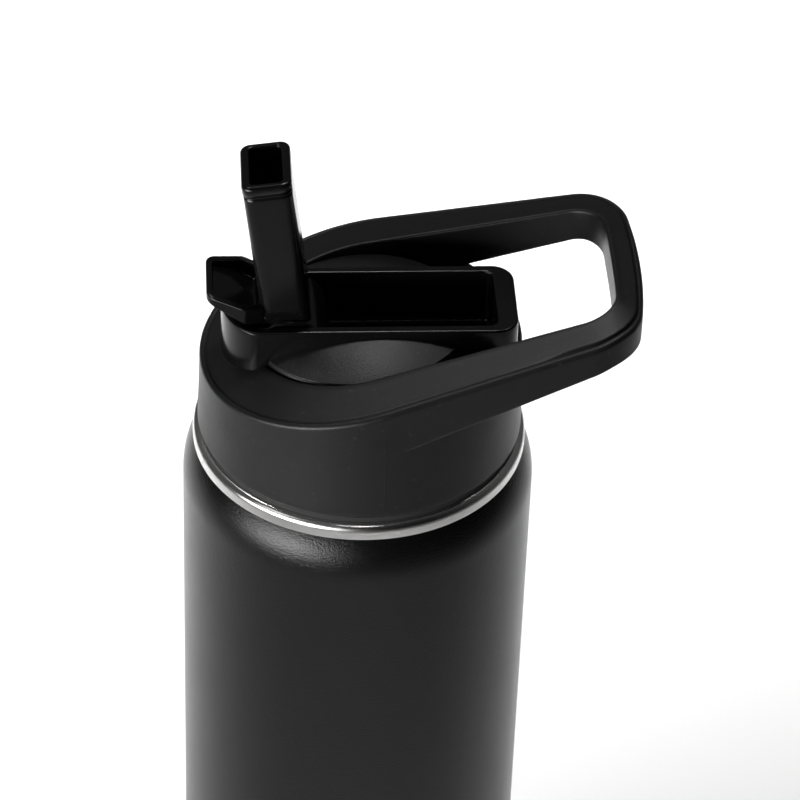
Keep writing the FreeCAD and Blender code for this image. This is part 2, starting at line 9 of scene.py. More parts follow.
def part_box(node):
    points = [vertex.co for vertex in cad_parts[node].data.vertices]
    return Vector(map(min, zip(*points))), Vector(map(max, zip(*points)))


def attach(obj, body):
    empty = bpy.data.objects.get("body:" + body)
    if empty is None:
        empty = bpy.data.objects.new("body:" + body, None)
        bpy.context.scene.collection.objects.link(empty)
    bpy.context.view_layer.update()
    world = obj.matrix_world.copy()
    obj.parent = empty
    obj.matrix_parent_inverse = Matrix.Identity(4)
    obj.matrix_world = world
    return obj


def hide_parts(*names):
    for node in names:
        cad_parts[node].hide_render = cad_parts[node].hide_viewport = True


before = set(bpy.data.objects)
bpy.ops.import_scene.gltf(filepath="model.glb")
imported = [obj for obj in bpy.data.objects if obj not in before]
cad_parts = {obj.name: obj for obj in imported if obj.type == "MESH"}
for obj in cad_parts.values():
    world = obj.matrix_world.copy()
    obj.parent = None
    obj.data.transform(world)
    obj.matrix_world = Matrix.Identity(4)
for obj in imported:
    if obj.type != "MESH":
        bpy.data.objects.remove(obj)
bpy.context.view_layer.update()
mm = 0.001

shellLow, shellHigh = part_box("outer_shell")
spoutLow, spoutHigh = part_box("spout")
bandZ = shellHigh.z / mm  # where the coated shell ends under the steel lip, in mm above the base
bodyRadius = shellHigh.x / mm


# Shapes are worked out in millimetres, and addPiece turns them into metres.
def smoothStep(value):
    t = np.clip(value, 0, 1)
    return t * t * (3 - 2 * t)


# Open or closed outline through corners (x, y, radius): each corner becomes an arc tangent to both of its
# sides, and each side gets a point close to either end so that flat faces stay flat when shaded smooth.
def roundedOutline(corners, closed=True, steps=7, hold=0.25):
    points = np.array([c[:2] for c in corners], float)
    radii = [c[2] if len(c) > 2 else 0 for c in corners]
    count = len(points)
    out = []
    for i in range(count):
        if not closed and i in (0, count - 1):
            out.append(points[i][None])
            continue
        before, here, after = points[i - 1], points[i], points[(i + 1) % count]
        toBefore = (before - here) / np.linalg.norm(before - here)
        toAfter = (after - here) / np.linalg.norm(after - here)
        opening = math.acos(np.clip(toBefore @ toAfter, -1, 1))
        if radii[i] <= 0 or opening > math.pi - 0.02:
            out.append(here[None])
            continue
        reach = radii[i] / math.tan(opening / 2)
        middle = (toBefore + toAfter) / np.linalg.norm(toBefore + toAfter)
        centre = here + middle * radii[i] / math.sin(opening / 2)
        start, end = here + toBefore * reach, here + toAfter * reach
        t = np.linspace(0, 1, steps)[:, None]
        turn = math.pi - opening
        fromStart, fromEnd = np.sin((1 - t) * turn), np.sin(t * turn)
        arc = (fromStart * (start - centre) + fromEnd * (end - centre)) / math.sin(turn)
        room = min(hold, 0.3 * radii[i] + 0.05)
        out.append(np.vstack([start + toBefore * room, centre + arc, end + toAfter * room]))
    return np.vstack(out)


# Circle of profile points (r, z) carried round the Z axis: x = r cos a, y = r sin a.
def turned(profile, count=160, centreX=0.0):
    angle = np.linspace(0, 2 * np.pi, count, endpoint=False)
    r, z = profile[:, 0][:, None], profile[:, 1][:, None]
    return np.stack([centreX + r * np.cos(angle), r * np.sin(angle), z + 0 * angle], axis=-1)


# Vertex numbers of the four corners of every face in a grid of points. A wrapped side joins back to its
# start.
def quads(rows, columns, wrapRows, wrapColumns):
    r = np.arange(rows if wrapRows else rows - 1)
    c = np.arange(columns if wrapColumns else columns - 1)
    r, c = np.meshgrid(r, c, indexing="ij")
    nextRow, nextColumn = (r + 1) % rows, (c + 1) % columns
    corners = [(r, c), (r, nextColumn), (nextRow, nextColumn), (nextRow, c)]
    return np.stack([row * columns + column for row, column in corners], axis=-1).reshape(-1, 4)


# Surfaces is a list of (grid, wrapRows, wrapColumns); they become one closed, outward-facing mesh.
def addPiece(name, surfaces, body, replaces=(), merge=0.0005):
    vertices, faces, start = [], [], 0
    for grid, wrapRows, wrapColumns in surfaces:
        vertices.append(grid.reshape(-1, 3) * mm)
        faces.append(quads(grid.shape[0], grid.shape[1], wrapRows, wrapColumns) + start)
        start += grid.shape[0] * grid.shape[1]
    mesh = bpy.data.meshes.new(name)
    mesh.from_pydata(np.vstack(vertices), [], np.vstack(faces).tolist())
    shape = bmesh.new()
    shape.from_mesh(mesh)
    bmesh.ops.remove_doubles(shape, verts=shape.verts, dist=merge * mm)
    bmesh.ops.dissolve_degenerate(shape, dist=merge * mm * 0.1, edges=shape.edges)
    bmesh.ops.recalc_face_normals(shape, faces=shape.faces)
    shape.to_mesh(mesh)
    shape.free()
    mesh.polygons.foreach_set("use_smooth", np.ones(len(mesh.polygons), bool))
    piece = bpy.data.objects.new(name, mesh)
    bpy.context.scene.collection.objects.link(piece)
    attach(piece, body)
    if replaces:
        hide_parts(*replaces)
    return piece


# Closes a ring of points to a middle line: rows step from the ring towards where each point lands.
def closedPatch(ring, landing, steps=8):
    t = np.linspace(0, 1, steps)[:, None, None]
    return ring[None] * (1 - t) + landing[None] * t


flaskSizes = dict(shoulderDrop=9.8, shoulderInset=2.9, shoulderBend=2.3, wall=0.6, wallFoot=20.0,
                  footRound=3.5, footLift=0.6, footFlat=1.8, bandRadius=34.42, bandDrop=0.45, bandRound=0.5,
                  bandSeat=0.02, lipHeight=3.3, lipRound=1.6, lipInnerRound=1.0, neckBore=30.4,
                  neckWall=0.9, neckLength=18.0, neckBlend=7.0, neckRound=4.0,
                  neckBoreRound=3.0, linerRadius=32.8,
                  linerWall=0.5, linerFloor=12.0, linerCorner=9.0, threadPitch=4.0, threadTurns=1.75,
                  threadHeight=0.9, threadDrop=7.0, threadFade=0.5, threadRoot=0.3, around=192)


# Outside from foot to shoulder and back down the inside, one wall thickness in, all carried round Z.
def buildShell():
    s = flaskSizes
    topZ = bandZ - s["bandDrop"]
    drop = np.linspace(0, s["shoulderDrop"], 24)
    # the shoulder draws in as a power of the height:
    # inset = shoulderInset * (height / shoulderDrop) ^ shoulderBend
    curve = bodyRadius - s["shoulderInset"] * (drop / s["shoulderDrop"])**s["shoulderBend"]
    shoulder = np.stack([curve, topZ - s["shoulderDrop"] + drop], axis=1)
    footInner = bodyRadius - s["footRound"] - s["footFlat"]
    foot = roundedOutline([(footInner, s["footLift"]), (bodyRadius, s["footLift"], s["footRound"]),
                           (bodyRadius, bandZ - s["shoulderDrop"] - 6)], closed=False, steps=10)
    wallHeights = np.linspace(s["wallFoot"], bandZ - s["shoulderDrop"] - 1, 12)
    wall = np.stack([np.full(12, bodyRadius), wallHeights], axis=1)
    outside = np.vstack([foot[:-1], wall, shoulder])
    inside = outside[::-1] - [s["wall"], 0]
    footPoints = len(foot) - 2
    inside[-footPoints:, 1] = np.maximum(inside[-footPoints:, 1], s["footLift"] + s["wall"])
    inside[-1, 0] = footInner
    shell = turned(np.vstack([outside, inside]), s["around"])
    addPiece("bodyShell", [(shell, True, True)], "bottle", ["outer_shell"])


# Inner flask with its rolled lip, carried round Z, and a screw ridge in the neck.
def buildLiner():
    s = flaskSizes
    top = bandZ + s["lipHeight"]
    bandFoot = bandZ - s["bandDrop"] + s["bandSeat"]
    neckFoot = top - s["neckLength"]
    bulge = s["linerRadius"]
    innerBulge, innerFloor = bulge - s["linerWall"], s["linerFloor"] + s["linerWall"]
    neckOuter = s["neckBore"] + s["neckWall"]
    outline = [(0, s["linerFloor"]), (bulge, s["linerFloor"], s["linerCorner"]),
               (bulge, neckFoot - s["neckBlend"], s["neckRound"]), (neckOuter, neckFoot, s["neckRound"]),
               (neckOuter, bandFoot), (s["bandRadius"], bandFoot, s["bandRound"]),
               (s["bandRadius"], top, s["lipRound"]), (s["neckBore"], top, s["lipInnerRound"]),
               (s["neckBore"], neckFoot, s["neckBoreRound"]),
               (innerBulge, neckFoot - s["neckBlend"], s["neckRound"]),
               (innerBulge, innerFloor, s["linerCorner"] - s["linerWall"]), (0, innerFloor)]
    body = turned(roundedOutline(outline, closed=False, steps=9), s["around"])
    turns = np.linspace(0, 2 * np.pi * s["threadTurns"], 220)  # helix: height rises one pitch for each turn
    fade = smoothStep(np.minimum(turns, turns[-1] - turns) / s["threadFade"])
    section = np.array([(0.25, -1.0), (-0.2, -0.75), (-1, -0.4), (-1, 0.4), (-0.2, 0.75), (0.25, 1.0)])
    start = top - s["threadDrop"] - s["threadPitch"] * s["threadTurns"]
    rise = start + s["threadPitch"] * turns / (2 * np.pi)
    inward = np.where(section[:, 0] < 0, section[:, 0] * s["threadHeight"], s["threadRoot"])
    r = s["neckBore"] + inward[:, None] * np.where(inward[:, None] < 0, fade, 1)
    z = rise + section[:, 1][:, None]
    ridge = np.stack([r * np.cos(turns), r * np.sin(turns), z], axis=-1)
    ends = [closedPatch(ridge[:, i], np.repeat(ridge[:, i].mean(0)[None], 6, 0), 2) for i in (0, -1)]
    surfaces = [(body, False, True), (ridge, True, False)] + [(e, False, True) for e in ends]
    addPiece("steelLiner", surfaces, "bottle", ["inner_liner"])


lidSizes = dict(skirtGap=4.8, skirtRadius=33.44, ringRadius=32.75, skirtWall=1.4, skirtFoot=0.5,
                skirtRound=1.1, deckRise=26.2, deckBelowTop=1.9, deckHole=21.0, deckThick=1.5,
                topRise=29.8, topSlope=0.262, topLevelX=50.5, lowestTop=21.2, faceCrown=1.45, seamInset=1.1,
                seamDepth=0.16, seamWidth=0.26, seamLineAngle=1.676, seamLineHalf=0.2, seamLineProud=0.05,
                eyeRound=0.6, archRise=18.0, archSlope=0.37, archLevelX=49.0, archLowest=12.0,
                archRound=0.6, levelSoft=1.5, lowSoft=0.5, proud=0.1, drawBack=0.19, edgeRound=1.0,
                armTaper=8.4, endX=53.5, endBow=2.9, endCorner=10.6, eyeRadius=22.1, eyeCentre=-0.2,
                eyeTaper=5.25, eyeEndX=49.6, eyeBow=0.3, eyeCorner=7.6)


# Plan of the loop's outside or its eye: a part circle, two straight arms that close in, and a bowed end
# with rounded corners. Both plans have the same number of points, so they pair up one to one.
def loopPlan(radius, centreX, taper, endX, bow, corner):
    lean = math.radians(taper)
    angle = np.linspace(math.pi / 2 - lean, 3 * math.pi / 2 + lean, 110)
    circle = np.stack([centreX + radius * np.cos(angle), radius * np.sin(angle)], axis=1)
    startX, startY = circle[-1]
    tipY = startY + (endX - startX) * math.tan(lean)
    turn = math.pi / 2 - lean
    reach = corner * math.tan(turn / 2)
    along = np.array([math.cos(lean), math.sin(lean)])
    cornerStart = np.array([endX, tipY]) - along * reach
    centre = cornerStart + corner * np.array([-along[1], along[0]])
    sweep = np.linspace(-math.pi / 2 + lean, 0, 26)
    arc = centre + corner * np.stack([np.cos(sweep), np.sin(sweep)], axis=1)
    arm = circle[-1] + (cornerStart - circle[-1]) * np.linspace(0, 1, 42)[1:-1, None]
    end = np.stack([np.full(13, endX), np.linspace(arc[-1, 1], 0, 14)[1:]], axis=1)
    half = np.vstack([arm, arc, end])
    # the end bows out as a parabola across the loop, which fades away along the arms
    parabola = np.clip(1 - (half[:, 1] / tipY)**2, 0, 1)
    half[:, 0] += bow * parabola * smoothStep((half[:, 0] - endX + 14) / 12)
    back = half[:-1][::-1] * [1, -1]
    return np.vstack([circle, half, back])


# The larger of value and limit, with the corner between them rounded:
# limit + soft * ln(1 + e^(rise / soft)).
def softLimit(value, limit, soft):
    return limit + np.log1p(np.exp((value - limit) / soft)) * soft


# Height of the seam line along the top: a straight slope that levels off at both ends.
def topHeight(x):
    s = lidSizes
    slopeX = -softLimit(-x, -s["topLevelX"], s["levelSoft"])
    return bandZ + softLimit(s["topRise"] + s["topSlope"] * slopeX, s["lowestTop"], s["lowSoft"])


# Height of the loop's lower edge: a steeper slope that levels off the same way.
def archHeight(x):
    s = lidSizes
    slopeX = -softLimit(-x, -s["archLevelX"], s["levelSoft"])
    return bandZ + np.maximum(s["archRise"] + s["archSlope"] * slopeX, s["archLowest"])


# How much the skirt's radius shrinks for each millimetre of height.
def skirtDrawIn():
    s = lidSizes
    return (s["skirtRadius"] - s["ringRadius"]) / (s["deckRise"] - s["skirtGap"])


# The band between the outside plan and the eye: each row of the grid is one point of its cross-section.
def buildLoop():
    s = lidSizes
    outer = loopPlan(s["ringRadius"], 0, s["armTaper"], s["endX"], s["endBow"], s["endCorner"])
    inner = loopPlan(s["eyeRadius"], s["eyeCentre"], s["eyeTaper"], s["eyeEndX"], s["eyeBow"],
                     s["eyeCorner"])
    width = np.linalg.norm(inner - outer, axis=1)
    inward = (inner - outer) / width[:, None]
    top, low = topHeight(outer[:, 0]), archHeight(outer[:, 0])
    # section across the band: how far in from the outside, and how high
    edge, seam, groove, dip = s["edgeRound"], s["seamInset"], s["seamWidth"], s["seamDepth"]
    foot, quarter = s["archRound"], np.linspace(0, np.pi / 2, 7)
    rows = [(foot * (1 - math.sin(a)) + 0 * width, low + foot * (1 - math.cos(a))) for a in quarter]
    rows += [(0 * width, low * (1 - k) + (top - edge) * k) for k in (0.12, 0.5, 0.85, 0.97)]
    rows += [(edge * (1 - math.cos(a)) * 0.96 + 0 * width, top - edge + edge * math.sin(a) * 0.95)
             for a in quarter]
    rows += [(seam + groove * k + 0 * width, top - dip * math.sin(math.pi * k)**0.5)
             for k in (0.12, 0.5, 0.88)]
    rows += [(seam + groove + 0.1 + 0 * width, top + 0.04)]
    # the outside leans out as the skirt does, standing just proud of it at the top and just inside it below
    ringZ = bandZ + s["deckRise"]
    rows = [(a - skirtDrawIn() * (ringZ - z) - s["proud"] + s["drawBack"] * (top - z) / (top - low), z)
            for a, z in rows]
    face = width - seam - groove
    peak = topHeight(inner[:, 0]) + s["faceCrown"]
    rows += [(seam + groove + face * k, top + (peak - top) * (1.15 * k - 0.15 * k * k))
             for k in (0.06, 0.2, 0.4, 0.6, 0.8)]
    r = s["eyeRound"]
    rows += [(width - r + r * math.sin(a), peak - r * (1 - math.cos(a))) for a in quarter]
    rows += [(width, (peak - r) * (1 - k) + low * k) for k in (0.1, 0.5, 0.88)]
    rows += [(width - foot * (1 - math.cos(a)), low + foot * (1 - math.sin(a))) for a in quarter]
    rows += [(width * (1 - k) + foot * k, low) for k in (0.15, 0.5, 0.85)]
    grid = np.stack([np.concatenate([outer + inward * a[:, None], z[:, None]], axis=1) for a, z in rows])
    addPiece("carryLoop", [(grid, True, True)], "lid", ["lid_shell"])


# Skirt and deck: each row of the grid is one point of the section, carried round Z.
def buildSkirt():
    s = lidSizes
    across = np.linspace(-1, 1, 5) * s["seamLineHalf"] / s["skirtRadius"]
    lines = np.concatenate([s["seamLineAngle"] + across, s["seamLineAngle"] + np.pi + across])
    angle = np.unique(np.concatenate([np.linspace(0, 2 * np.pi, 192, endpoint=False), lines]))
    # a mould seam on each side: the skirt stands proud by a cosine bump a fraction of a millimetre wide
    away = np.abs((angle - s["seamLineAngle"] + np.pi / 2) % np.pi - np.pi / 2) * s["skirtRadius"]
    ridge = s["seamLineProud"] * 0.5 * (1 + np.cos(np.pi * np.clip(away / s["seamLineHalf"], 0, 1)))
    x = s["ringRadius"] * np.cos(angle)
    top = np.minimum(bandZ + s["deckRise"], topHeight(x) - s["deckBelowTop"])
    low = bandZ + s["skirtGap"]
    foot, crown, quarter = s["skirtFoot"], s["skirtRound"], np.linspace(0, np.pi / 2, 7)
    rows = [(s["skirtRadius"] - foot * (1 - math.sin(a)), low + foot * (1 - math.cos(a)) + 0 * top)
            for a in quarter]
    for k in (0.06, 0.3, 0.6, 0.9, 0.97):
        z = low + foot + (top - s["deckThick"] - low) * k
        rows.append((s["skirtRadius"] - (z - low) * skirtDrawIn() + ridge, z))
    edge = s["skirtRadius"] - (top - low) * skirtDrawIn()
    rows += [(edge - crown * (1 - math.cos(a)), top - crown * (1 - math.sin(a))) for a in quarter]
    # the deck stops at the block: its inner edge follows the block's right end and sides
    ahead, aside = np.maximum(np.cos(angle), 0.05), np.maximum(np.abs(np.sin(angle)), 0.05)
    hole = np.minimum((insertSizes["right"] - 0.6) / ahead, (insertSizes["half"] - 0.6) / aside)
    hole = np.where(x > 0, np.clip(hole, s["deckHole"], edge - 1.6), s["deckHole"])
    rows += [(edge - crown - k * (edge - crown - hole), top) for k in (0.06, 0.5, 1)]
    rows += [(hole, top - s["deckThick"]), (np.maximum(edge - 2.2, hole + 0.2), top - 2.5)]
    rows += [(s["skirtRadius"] - s["skirtWall"] + 0 * top, low + k) for k in (8, foot)]
    rows += [(s["skirtRadius"] - s["skirtWall"] + 0.4 + 0 * top, low + 0 * top)]
    grid = np.stack([np.stack([(r + 0 * angle) * np.cos(angle), (r + 0 * angle) * np.sin(angle),
                               z + 0 * angle], axis=-1) for r, z in rows])
    addPiece("lidSkirt", [(grid, True, True)], "lid")


insertSizes = dict(radius=21.75, centreX=-0.3, domeRise=33.9, domeTilt=0.08, domeBall=50.0,
                   edgeRound=0.8, wallDrop=9.0, lensInset=1.0,
                   rimRise=34.4, half=10.85, right=31.2, left=-28.6, leftX=-22.4, corner=4.5,
                   troughHalf=8.72, troughRight=27.0, troughLeft=-26.3, troughLeftX=-21.6, troughCorner=1.9,
                   troughFloor=21.9, base=17.2, rimRound=0.45)
pivot = np.array([-14.6, 0.0, bandZ + 27.4])
hubSizes = dict(radius=7.8, half=8.4, endRound=0.7, seatGap=0.45)


# Plan of the block or its trough: a blunt arc at the left end, straight sides, rounded right corners.
def blockPlan(left, leftX, half, right, corner):
    sag = leftX - left
    arcRadius = (half**2 + sag**2) / (2 * sag)
    reach = math.asin(half / arcRadius)
    angle = np.linspace(math.pi - reach, math.pi + reach, 41)
    arc = np.stack([left + arcRadius + arcRadius * np.cos(angle), arcRadius * np.sin(angle)], axis=1)
    turn = np.linspace(-np.pi / 2, 0, 10)
    cornerX, cornerY = right - corner + corner * np.cos(turn), -half + corner + corner * np.sin(turn)
    near = np.stack([cornerX, cornerY], axis=1)
    side = np.stack([np.linspace(leftX, right - corner, 48)[1:-1], np.full(46, -half)], axis=1)
    end = np.stack([np.full(9, right), np.linspace(-half + corner, 0, 10)[1:]], axis=1)
    lower = np.vstack([side, near, end])
    return np.vstack([arc, lower, lower[:-1][::-1] * [1, -1]])


# A wall round a hollow: up the outside, over a rounded rim, down the inside, across the floor, and closed
# underneath. Rim, floor and underside are heights worked out from plan points; the middle line is y = 0.
def trayGrids(outer, inner, rim, floor, under, rimRound):
    width = np.linalg.norm(inner - outer, axis=1)
    inward = (inner - outer) / width[:, None]
    quarter = np.linspace(0, np.pi / 2, 6)
    outside, base = rim(outer), under(outer)
    rows = [(0 * width, base + (outside - rimRound - base) * k) for k in (0, 0.05, 0.5, 0.93)]
    rows += [(rimRound * (1 - math.cos(a)) + 0 * width, outside - rimRound * (1 - math.sin(a)))
             for a in quarter]
    deep, within = floor(inner), rim(inner)
    rows += [(rimRound + (width - 2 * rimRound) * k, outside * (1 - k) + within * k) for k in (0.15, 0.85)]
    rows += [(width - rimRound * (1 - math.sin(a)), within - rimRound * (1 - math.cos(a))) for a in quarter]
    rows += [(width, within - rimRound + (deep - within + rimRound) * k) for k in (0.07, 0.5, 0.9, 1)]
    wall = np.stack([np.concatenate([outer + inward * a[:, None], z[:, None]], axis=1) for a, z in rows])

    def patch(plan, height, steps):  # from the plan's edge in to a stretch of the middle line
        t = np.linspace(0, 1, steps)[:, None, None]
        room = np.abs(plan[:, 1]).max() * 0.9
        landing = np.stack([np.clip(plan[:, 0], plan[:, 0].min() + room, plan[:, 0].max() - room),
                            0 * plan[:, 0]], axis=1)
        flat = plan[None] * (1 - t) + landing[None] * t
        z = height(flat.reshape(-1, 2)).reshape(flat.shape[:2])
        return np.concatenate([flat, z[..., None]], axis=2)

    return [(grid, False, True) for grid in (wall, patch(inner, floor, 9), patch(outer, under, 6))]


# Each side of the dome is a lens between the block's wall and the rim circle. Across it the height is
# rise + tilt * x - (x^2 + y^2) / (2 * ball radius), then rolls over the rim and comes back underneath.
def buildInsert():
    s = insertSizes
    inside = s["half"] - s["lensInset"]
    reach = math.acos(inside / s["radius"])
    turn = np.linspace(-reach, reach, 90)[:, None]
    roll = np.linspace(0.25, np.pi / 2, 7)
    share = np.concatenate([np.linspace(0, 0.97, 22), np.ones(7), [1.0, 0.9, 0.0]])
    tuck = np.concatenate([np.zeros(22), 1 - np.sin(roll), [0, 2.0, 2.0]]) * s["edgeRound"]
    drop = np.concatenate([np.zeros(22), 1 - np.cos(roll), [s["wallDrop"], s["wallDrop"], 6.0]])
    drop[22:29] *= s["edgeRound"]
    radius = s["radius"] - tuck
    rimX, rimY = radius * np.sin(turn), radius * np.cos(turn)
    y = inside + (np.maximum(rimY, inside) - inside) * share
    x = s["centreX"] + rimX + 0 * y
    z = bandZ + s["domeRise"] + s["domeTilt"] * x - (x**2 + y**2) / (2 * s["domeBall"]) - drop
    lens = np.stack([x, y, z], axis=-1)
    caps = [closedPatch(lens[i], np.repeat(lens[i].mean(0)[None], lens.shape[1], 0), 3) for i in (0, -1)]
    half = [(lens, False, True)] + [(c, False, True) for c in caps]
    mirrored = [(g * [1, -1, 1], a, b) for g, a, b in half]
    addPiece("topDome", half + mirrored, "lid")
    outer = blockPlan(s["left"], s["leftX"], s["half"], s["right"], s["corner"])
    inner = blockPlan(s["troughLeft"], s["troughLeftX"], s["troughHalf"], s["troughRight"],
                      s["troughCorner"])

    def floor(p):  # flat, with a round seat under the spout's hub
        seat = hubSizes["radius"] + hubSizes["seatGap"]
        away = np.clip(np.abs(p[:, 0] - pivot[0]) / seat, 0, 1)
        return np.minimum(bandZ + s["troughFloor"], pivot[2] - seat * np.sqrt(1 - away**2))

    def rim(p):
        return bandZ + s["rimRise"] + 0 * p[:, 0]

    def base(p):
        return bandZ + s["base"] + 0 * p[:, 0]

    grids = trayGrids(outer, inner, rim, floor, base, s["rimRound"])
    addPiece("troughBlock", grids, "lid", ["top_insert"])


spoutSizes = dict(length=41.2, lean=7.3, thick=9.8, width=15.0, corner=2.0, boreThick=6.4, boreWidth=12.0,
                  boreCorner=0.9, mouthRound=0.75, boreRound=0.55, beadHeight=2.9, beadProud=0.12,
                  beadGroove=0.28, webThick=6.3, webHeight=9.3, webHalf=7.2, webRound=0.5)
tabSizes = dict(top=40.8, topFall=0.24, tip=-31.6, tipHalf=6.7, wideX=-24.0, wideHalf=9.0, root=-19.9,
                rootHalf=7.4, corner=2.6, wideRound=1.8, rootRound=0.9, rim=1.3, rimRound=0.45,
                trayTip=1.0, trayFall=0.5, floorThick=0.6, lowest=34.7)


# Plan that is the same on both sides of y = 0, from its corners (x, half-width, radius) on one side.
def mirroredPlan(corners):
    near = [(x, -half, radius) for x, half, radius in corners]
    far = [(x, half, radius) for x, half, radius in corners[::-1]]
    return roundedOutline(near + far, steps=9)


# Straight tube with a rounded oblong section that leans back: rings run up the outside and down the bore.
def buildTube():
    s = spoutSizes
    lean = math.radians(s["lean"])
    along = np.array([-math.sin(lean), 0, math.cos(lean)])
    across = np.array([math.cos(lean), 0, math.sin(lean)])
    mouth, bore, length = s["mouthRound"], s["boreRound"], s["length"]
    beadStart = length - s["beadHeight"]
    arc = np.linspace(0, np.pi / 2, 6)
    # each ring: distance up the tube, share of the way from the outside to the bore, and outward offset
    rings = [(3.0, 0, 0), (10, 0, 0), (22, 0, 0), (beadStart - 0.6, 0, 0), (beadStart - 0.35, 0, 0)]
    rings += [(beadStart - 0.1, 0, -0.6 * s["beadGroove"]), (beadStart + 0.1, 0, -s["beadGroove"])]
    rings += [(beadStart + 0.35, 0, -0.5 * s["beadGroove"]), (beadStart + 0.6, 0, s["beadProud"])]
    rings += [(length - mouth - 0.4, 0, s["beadProud"])]
    rings += [(length - mouth * (1 - math.sin(a)), 0, s["beadProud"] - mouth * (1 - math.cos(a)))
              for a in arc]
    rings += [(length - bore * (1 - math.cos(a)), 1, bore * (1 - math.sin(a))) for a in arc]
    rings += [(length - 1.2, 1, 0), (length - 15, 1, 0), (12.0, 1, 0), (8.0, 1, 0)]
    grid = []
    for t, share, out in rings:
        halfX = (s["thick"] + (s["boreThick"] - s["thick"]) * share) / 2 + out
        halfY = (s["width"] + (s["boreWidth"] - s["width"]) * share) / 2 + out
        corner = max(s["corner"] + (s["boreCorner"] - s["corner"]) * share + out, 0.2)
        plan = roundedOutline([(halfX, -halfY, corner), (halfX, halfY, corner), (-halfX, halfY, corner),
                               (-halfX, -halfY, corner)], steps=8)
        grid.append(pivot + plan[:, :1] * across + plan[:, 1:] * np.array([0, 1, 0]) + t * along)
    grid = np.array(grid)
    caps = [closedPatch(grid[i], np.repeat(grid[i].mean(0)[None], grid.shape[1], 0), 3) for i in (0, -1)]
    surfaces = [(g, False, True) for g in [grid] + caps]
    addPiece("spoutTube", surfaces, "spout", ["spout"])


# Round drum on the hinge line: a profile carried round Z and laid over so that its axis is along Y.
def buildHub():
    h = hubSizes
    side = [(0, -h["half"]), (h["radius"], -h["half"], h["endRound"]),
            (h["radius"], h["half"], h["endRound"]), (0, h["half"])]
    spin = turned(roundedOutline(side, closed=False, steps=6), 96)
    hub = np.stack([spin[..., 0], spin[..., 2], spin[..., 1]], axis=-1) + pivot
    addPiece("spoutHub", [(hub, False, True)], "spout")


# Shallow tray whose rim and floor fall in straight lines from its tip to its root.
def buildTab():
    t = tabSizes
    outer = mirroredPlan([(t["tip"], t["tipHalf"], t["corner"]),
                          (t["wideX"], t["wideHalf"], t["wideRound"]),
                          (t["root"], t["rootHalf"], t["rootRound"])])
    rim = t["rim"]
    inner = mirroredPlan([(t["tip"] + rim, t["tipHalf"] - rim, t["corner"] - rim),
                          (t["wideX"] - 0.2, t["wideHalf"] - 1.5, 1.0),
                          (t["root"] - rim, t["rootHalf"] - rim, 0.5)])

    def rimTop(p):
        return bandZ + t["top"] - t["topFall"] * (p[:, 0] - t["tip"])

    def trayFloor(p):
        fall = t["top"] - t["trayTip"] - t["trayFall"] * (p[:, 0] - t["tip"])
        return bandZ + np.maximum(fall, t["lowest"] + t["floorThick"])

    def underside(p):
        return np.maximum(trayFloor(p) - t["floorThick"], bandZ + t["lowest"])

    grids = trayGrids(outer, inner, rimTop, trayFloor, underside, t["rimRound"])
    addPiece("thumbTab", grids, "spout")


# Block under the tab that ties it to the hub: an upright oblong carried along Y, with its ends drawn in.
def buildWeb():
    s = spoutSizes
    thick, height, half, soft = s["webThick"], s["webHeight"], s["webHalf"], s["webRound"]
    web = roundedOutline([(-thick, 0, soft), (0, 0, soft), (0, height, soft), (-thick, height, soft)],
                         steps=4)
    levels = roundedOutline([(0, -half), (1, -half, soft), (1, half, soft), (0, half)], closed=False,
                            steps=4)
    middle = np.array([-3.2, 4.6])
    grid = []
    for share, y in levels:
        flat = middle + (web - middle) * (share if share < 0.5 else 1 - (1 - share) * 0.12)
        grid.append(np.stack([flat[:, 0] + pivot[0], np.full(len(flat), y), flat[:, 1] + pivot[2]], axis=1))
    addPiece("tabWeb", [(np.array(grid), False, True)], "spout")


print("building the flask")
buildShell()
buildLiner()
print("building the lid")
buildLoop()
buildSkirt()
buildInsert()
print("building the spout")
buildTube()
buildHub()
buildTab()
buildWeb()


# New node group with plain number sockets, and its input and output nodes.
def nodeGroup(name, inputs, outputs):
    group = bpy.data.node_groups.new(name, "ShaderNodeTree")
    for label, value in inputs.items():
        socket = group.interface.new_socket(label, in_out="INPUT", socket_type="NodeSocketFloat")
        socket.default_value = value
    for label in outputs:
        group.interface.new_socket(label, in_out="OUTPUT", socket_type="NodeSocketFloat")
    return group, group.nodes.new("NodeGroupInput"), group.nodes.new("NodeGroupOutput")


# Wire from one node's socket to another's.
def link(tree, source, target):
    tree.links.new(source, target)


# Math node whose inputs are numbers or other nodes' outputs.
def mathNode(tree, operation, first, second=None):
    node = tree.nodes.new("ShaderNodeMath")
    node.operation = operation
    for socket, value in zip(node.inputs, (first, second)):
        if value is None:
            continue
        if isinstance(value, (int, float)):
            socket.default_value = value
        else:
            link(tree, value, socket)
    return node.outputs[0]


# Fine pebble grain: two sizes of noise added together, out as a height from 0 to 1.
def makeGrainGroup():
    group, given, result = nodeGroup("fineGrain", {"Size": 1500.0, "Spread": 0.5}, ["Height"])
    place = group.nodes.new("ShaderNodeTexCoord").outputs["Object"]
    coarse = group.nodes.new("ShaderNodeTexNoise")
    fine = group.nodes.new("ShaderNodeTexVoronoi")
    for texture in (coarse, fine):
        link(group, place, texture.inputs["Vector"])
    link(group, given.outputs["Size"], coarse.inputs["Scale"])
    link(group, mathNode(group, "MULTIPLY", given.outputs["Size"], 1.7), fine.inputs["Scale"])
    coarse.inputs["Detail"].default_value = 2
    bumps = mathNode(group, "MULTIPLY", fine.outputs["Distance"], given.outputs["Spread"])
    link(group, mathNode(group, "SUBTRACT", coarse.outputs["Fac"], bumps), result.inputs["Height"])
    return group


